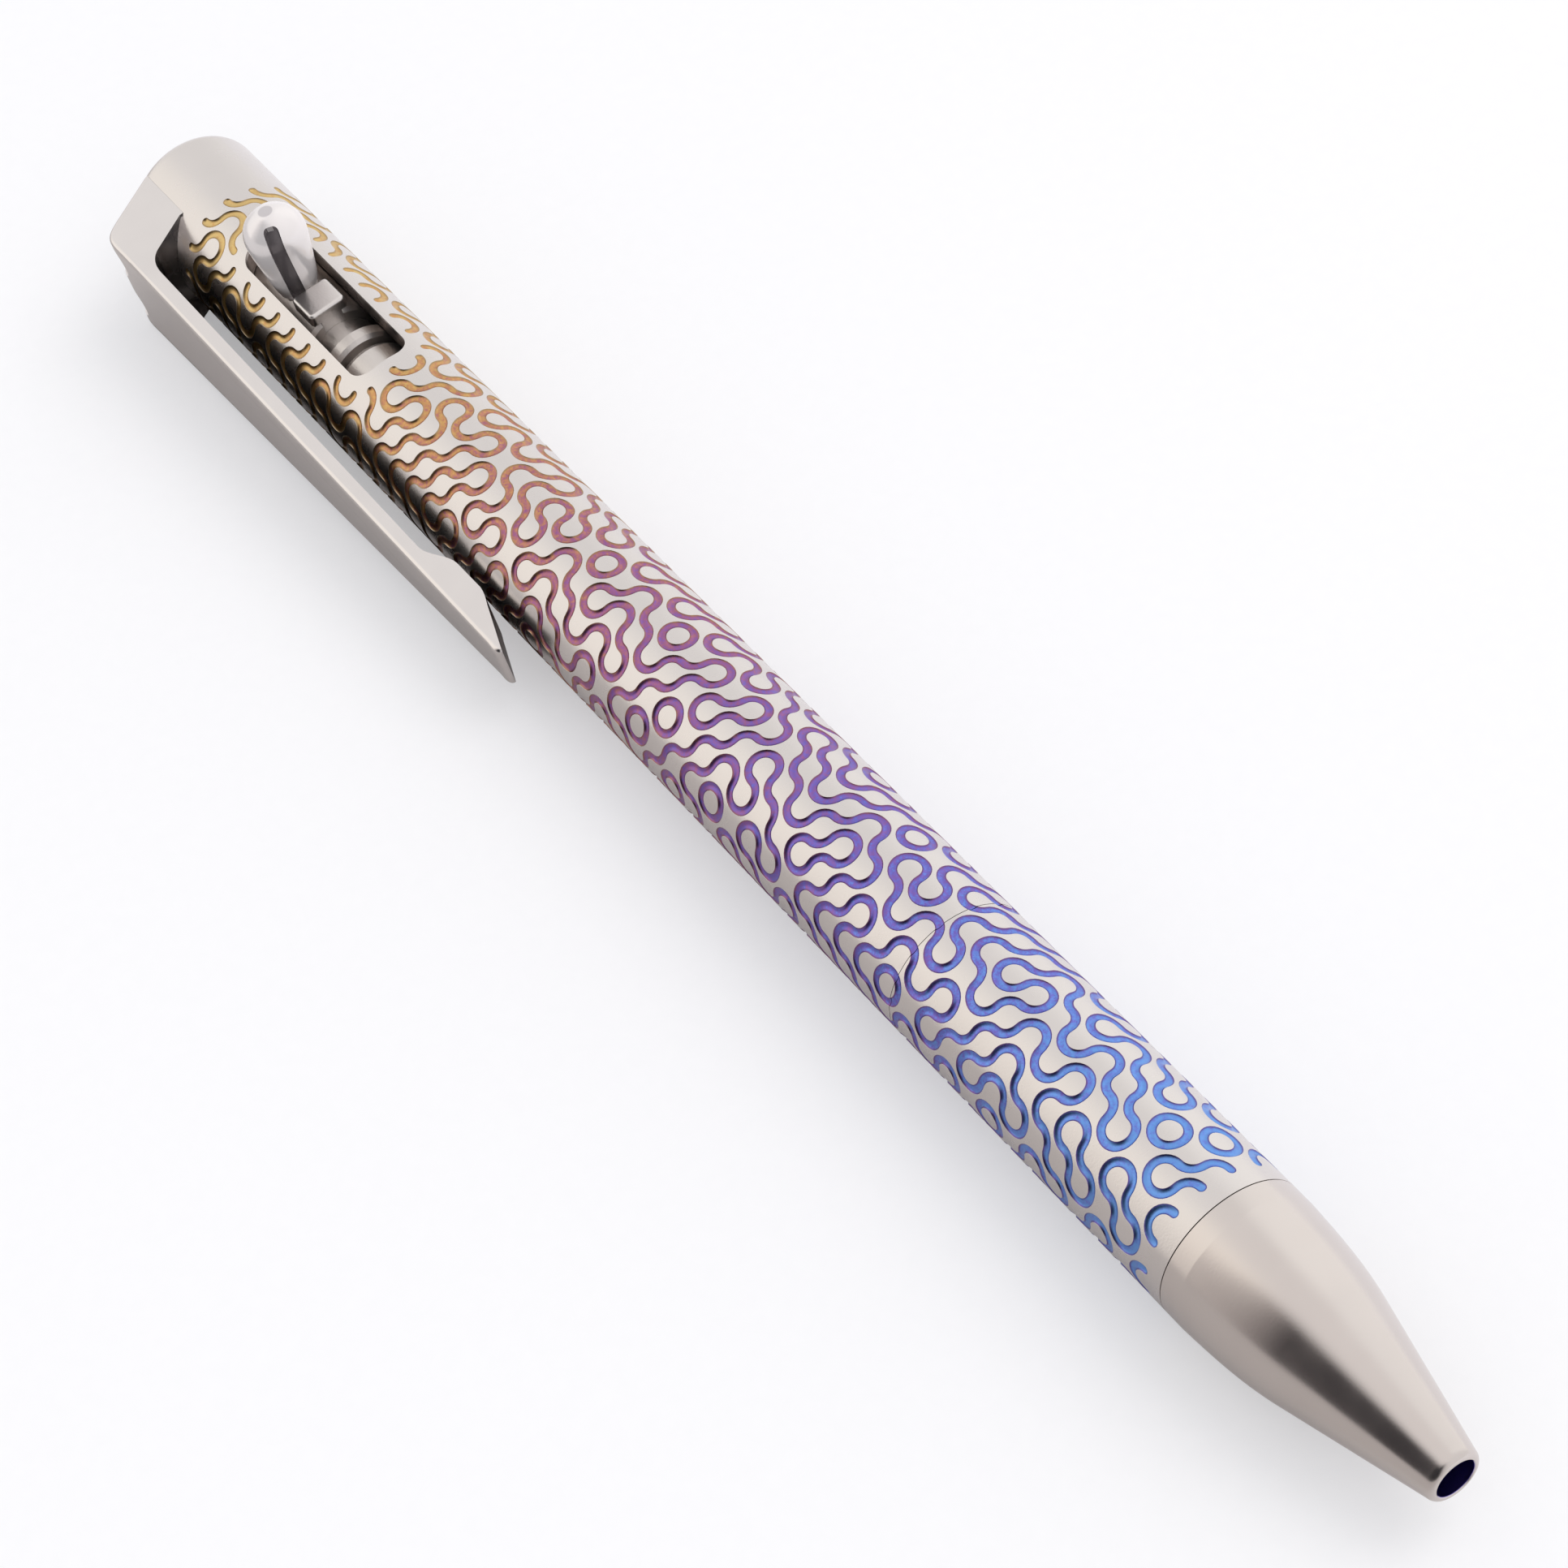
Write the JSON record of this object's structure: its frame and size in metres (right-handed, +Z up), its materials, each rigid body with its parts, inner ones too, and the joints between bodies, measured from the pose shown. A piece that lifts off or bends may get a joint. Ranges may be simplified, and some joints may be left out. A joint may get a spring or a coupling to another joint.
{
  "type": "side-slide ballpoint pen",
  "caption": "Slim metal ballpoint with a polished side knob that slides in a window to put the point out, engraved winding grooves and a wide-root clip.",
  "frame": {"origin": "bottom centre of the whole pen as it lies on a table, point drawn in", "axes": "+X along the pen toward the nose, +Z up from the table, the clip on the -Y side"},
  "size_m": [0.1314, 0.0126, 0.0146],
  "materials": {
    "barrel_titanium": "satin",
    "nose_titanium": "satin",
    "clip_titanium": "satin",
    "carrier_titanium": "satin",
    "knob_titanium": "polished",
    "screw_steel": "satin",
    "spring_steel": "polished",
    "ring_rubber": "matte",
    "refill_metal": "satin",
    "refill_plastic": "gloss",
    "tip_metal": "satin",
    "ink": "gloss"
  },
  "bodies": {
    "pen": {"rear_barrel": "barrel_titanium", "front_barrel": "barrel_titanium", "nose_cone": "nose_titanium", "clip": "clip_titanium", "clip_screw_upper": "screw_steel", "clip_screw_lower": "screw_steel", "barrel_o_ring": "ring_rubber", "nose_o_ring": "ring_rubber", "return_spring": "spring_steel"},
    "refill": {"refill_tube": "refill_metal", "refill_end_plug": "refill_plastic", "refill_tip": "tip_metal", "refill_ball": "spring_steel", "refill_ink": "ink"},
    "bolt": {"bolt_carrier": "carrier_titanium", "bolt_key": "carrier_titanium", "bolt_pusher": "carrier_titanium", "bolt_knob": "knob_titanium", "detent_ball": "spring_steel", "detent_spring": "spring_steel"}
  },
  "joints": [
    {"name": "refill_slide", "type": "slide", "parent": "pen", "child": "refill", "axis": [1, 0, 0], "range_m": [0, 0.0068], "stiffness_N_per_m": 300, "springref_m": -0.004, "deforming": ["return_spring"]},
    {"name": "bolt_twist", "type": "hinge", "parent": "refill", "child": "bolt", "pos_m": [-0.04935, 0.00159, 0.00475], "axis": [1, 0, 0], "range_deg": [-4, 4]}
  ]
}
